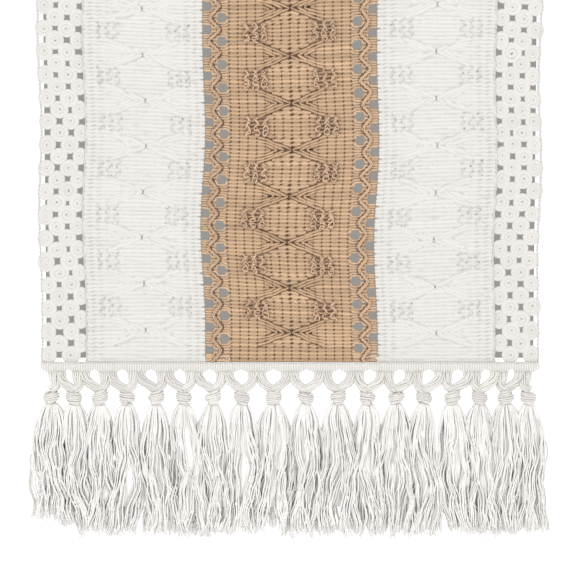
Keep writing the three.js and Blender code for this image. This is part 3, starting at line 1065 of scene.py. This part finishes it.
# A plain colour that also gives off some light of its own.
def plainMaterial(name, colour, roughness, glow):
    finish = bpy.data.materials.new(name)
    finish.use_nodes = True
    shader = finish.node_tree.nodes["Principled BSDF"]
    shader.inputs["Base Color"].default_value = (*colour, 1)
    shader.inputs["Roughness"].default_value = roughness
    shader.inputs["Emission Color"].default_value = (*colour, 1)
    shader.inputs["Emission Strength"].default_value = glow
    return finish


# One large square.
def makeFloor():
    half, height = studio["floorHalf"], studio["floorHeight"]
    mesh = bpy.data.meshes.new("floor")
    corners = [(x * half, y * half, height) for x, y in ((-1, -1), (1, -1), (1, 1), (-1, 1))]
    mesh.from_pydata(corners, [], [(0, 1, 2, 3)])
    mesh.materials.append(plainMaterial("paleFloor", (0.95, 0.95, 0.95), 0.9, 0.45))
    floor = bpy.data.objects.new("floor", mesh)
    bpy.context.scene.collection.objects.link(floor)
    floor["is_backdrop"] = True


# Plain grey to the camera from outside, and clear to light and to a camera inside.
def makeShadeFinish():
    finish = bpy.data.materials.new("tableShade")
    finish.use_nodes = True
    nodes, link = finish.node_tree.nodes, finish.node_tree.links.new
    nodes.remove(nodes["Principled BSDF"])
    grey, clear = nodes.new("ShaderNodeEmission"), nodes.new("ShaderNodeBsdfTransparent")
    grey.inputs["Color"].default_value = (*studio["shadeGrey"], 1)
    side, path = nodes.new("ShaderNodeNewGeometry"), nodes.new("ShaderNodeLightPath")
    seen = nodes.new("ShaderNodeMath")
    seen.operation = "SUBTRACT"
    seen.use_clamp = True
    link(path.outputs["Is Camera Ray"], seen.inputs[0])
    link(side.outputs["Backfacing"], seen.inputs[1])
    choice = nodes.new("ShaderNodeMixShader")
    link(seen.outputs["Value"], choice.inputs["Fac"])
    link(clear.outputs["BSDF"], choice.inputs[1])
    link(grey.outputs["Emission"], choice.inputs[2])
    link(choice.outputs["Shader"], nodes["Material Output"].inputs["Surface"])
    return finish


# The shade that the table keeps behind the cloth's holes: a plane just inside each section, which
# goes where the section goes.
def makeShades():
    finish = makeShadeFinish()
    wide, depth = (halfWidth - studio["shadeInset"]) / metre, studio["shadeDepth"] / metre
    reach, top = clothMiddle / metre - depth, clothHeight / metre - depth / 2
    foot = (tapeTop + studio["shadeFoot"]) / metre
    outline = [(-reach, foot), (-reach, top), (reach, top), (reach, foot)]
    for n, body in enumerate(("front_drop", "table_section", "rear_drop")):
        points = [(x, y, z) for x in (-wide, wide) for y, z in outline[n:n + 2]]
        mesh = bpy.data.meshes.new(f"{body}_shade")
        mesh.from_pydata(points, [], [(0, 2, 3, 1)])
        mesh.materials.append(finish)
        shade = bpy.data.objects.new(f"{body}_shade", mesh)
        bpy.context.scene.collection.objects.link(shade)
        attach(shade, body)
        shade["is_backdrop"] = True


# A round soft light that faces the hanging cloth.
def makeLight(name, place, size, energy):
    lamp = bpy.data.lights.new(name, "AREA")
    lamp.shape = "DISK"
    lamp.size = size
    lamp.energy = energy
    light = bpy.data.objects.new(name, lamp)
    bpy.context.scene.collection.objects.link(light)
    direction = np.array(studio["lightAim"]) - np.array(place)
    light.location = place
    light.rotation_euler = Vector(direction).to_track_quat("-Z", "Y").to_euler()


# Soft white light from all round, and a brighter white where the camera looks past the object.
def makeWorld():
    world = bpy.data.worlds.new("studio")
    bpy.context.scene.world = world
    world.use_nodes = True
    nodes, link = world.node_tree.nodes, world.node_tree.links.new
    background = nodes["Background"]
    background.inputs["Color"].default_value = (1, 1, 1, 1)
    path, strength = nodes.new("ShaderNodeLightPath"), nodes.new("ShaderNodeMapRange")
    strength.inputs["To Min"].default_value = studio["worldStrength"]
    strength.inputs["To Max"].default_value = studio["whiteStrength"]
    link(path.outputs["Is Camera Ray"], strength.inputs["Value"])
    link(strength.outputs["Result"], background.inputs["Strength"])
    bpy.context.scene.view_settings.view_transform = "Standard"


makeFloor()
makeShades()
makeWorld()
for name in ("keyLight", "fillLight"):
    makeLight(name, **studio[name])

view = {
    "distance": 1.3,
    "tilt": 5,  # degrees below the horizon
    "aimHeight": -0.2285,
    "aimSide": -0.0012,
    "fieldWidth": 0.352,  # what the picture's width spans at the hanging cloth
    "sensor": 36,
}
camera = bpy.data.cameras.new("camera")
camera.sensor_width = view["sensor"]
camera.lens = view["sensor"] * view["distance"] / view["fieldWidth"]
viewer = bpy.data.objects.new("camera", camera)
bpy.context.scene.collection.objects.link(viewer)
tilt = radians(view["tilt"])
viewer.location = (view["aimSide"], -clothMiddle / metre - view["distance"] * cos(tilt),
                   view["aimHeight"] + view["distance"] * sin(tilt))
viewer.rotation_euler = (pi / 2 - tilt, 0, 0)
bpy.context.scene.camera = viewer
print("stage set")

shown = {piece.name: len(piece.data.loops) - 2 * len(piece.data.polygons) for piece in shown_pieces()}
print("triangles:", sum(shown.values()), "most in", max(shown, key=shown.get), max(shown.values()))
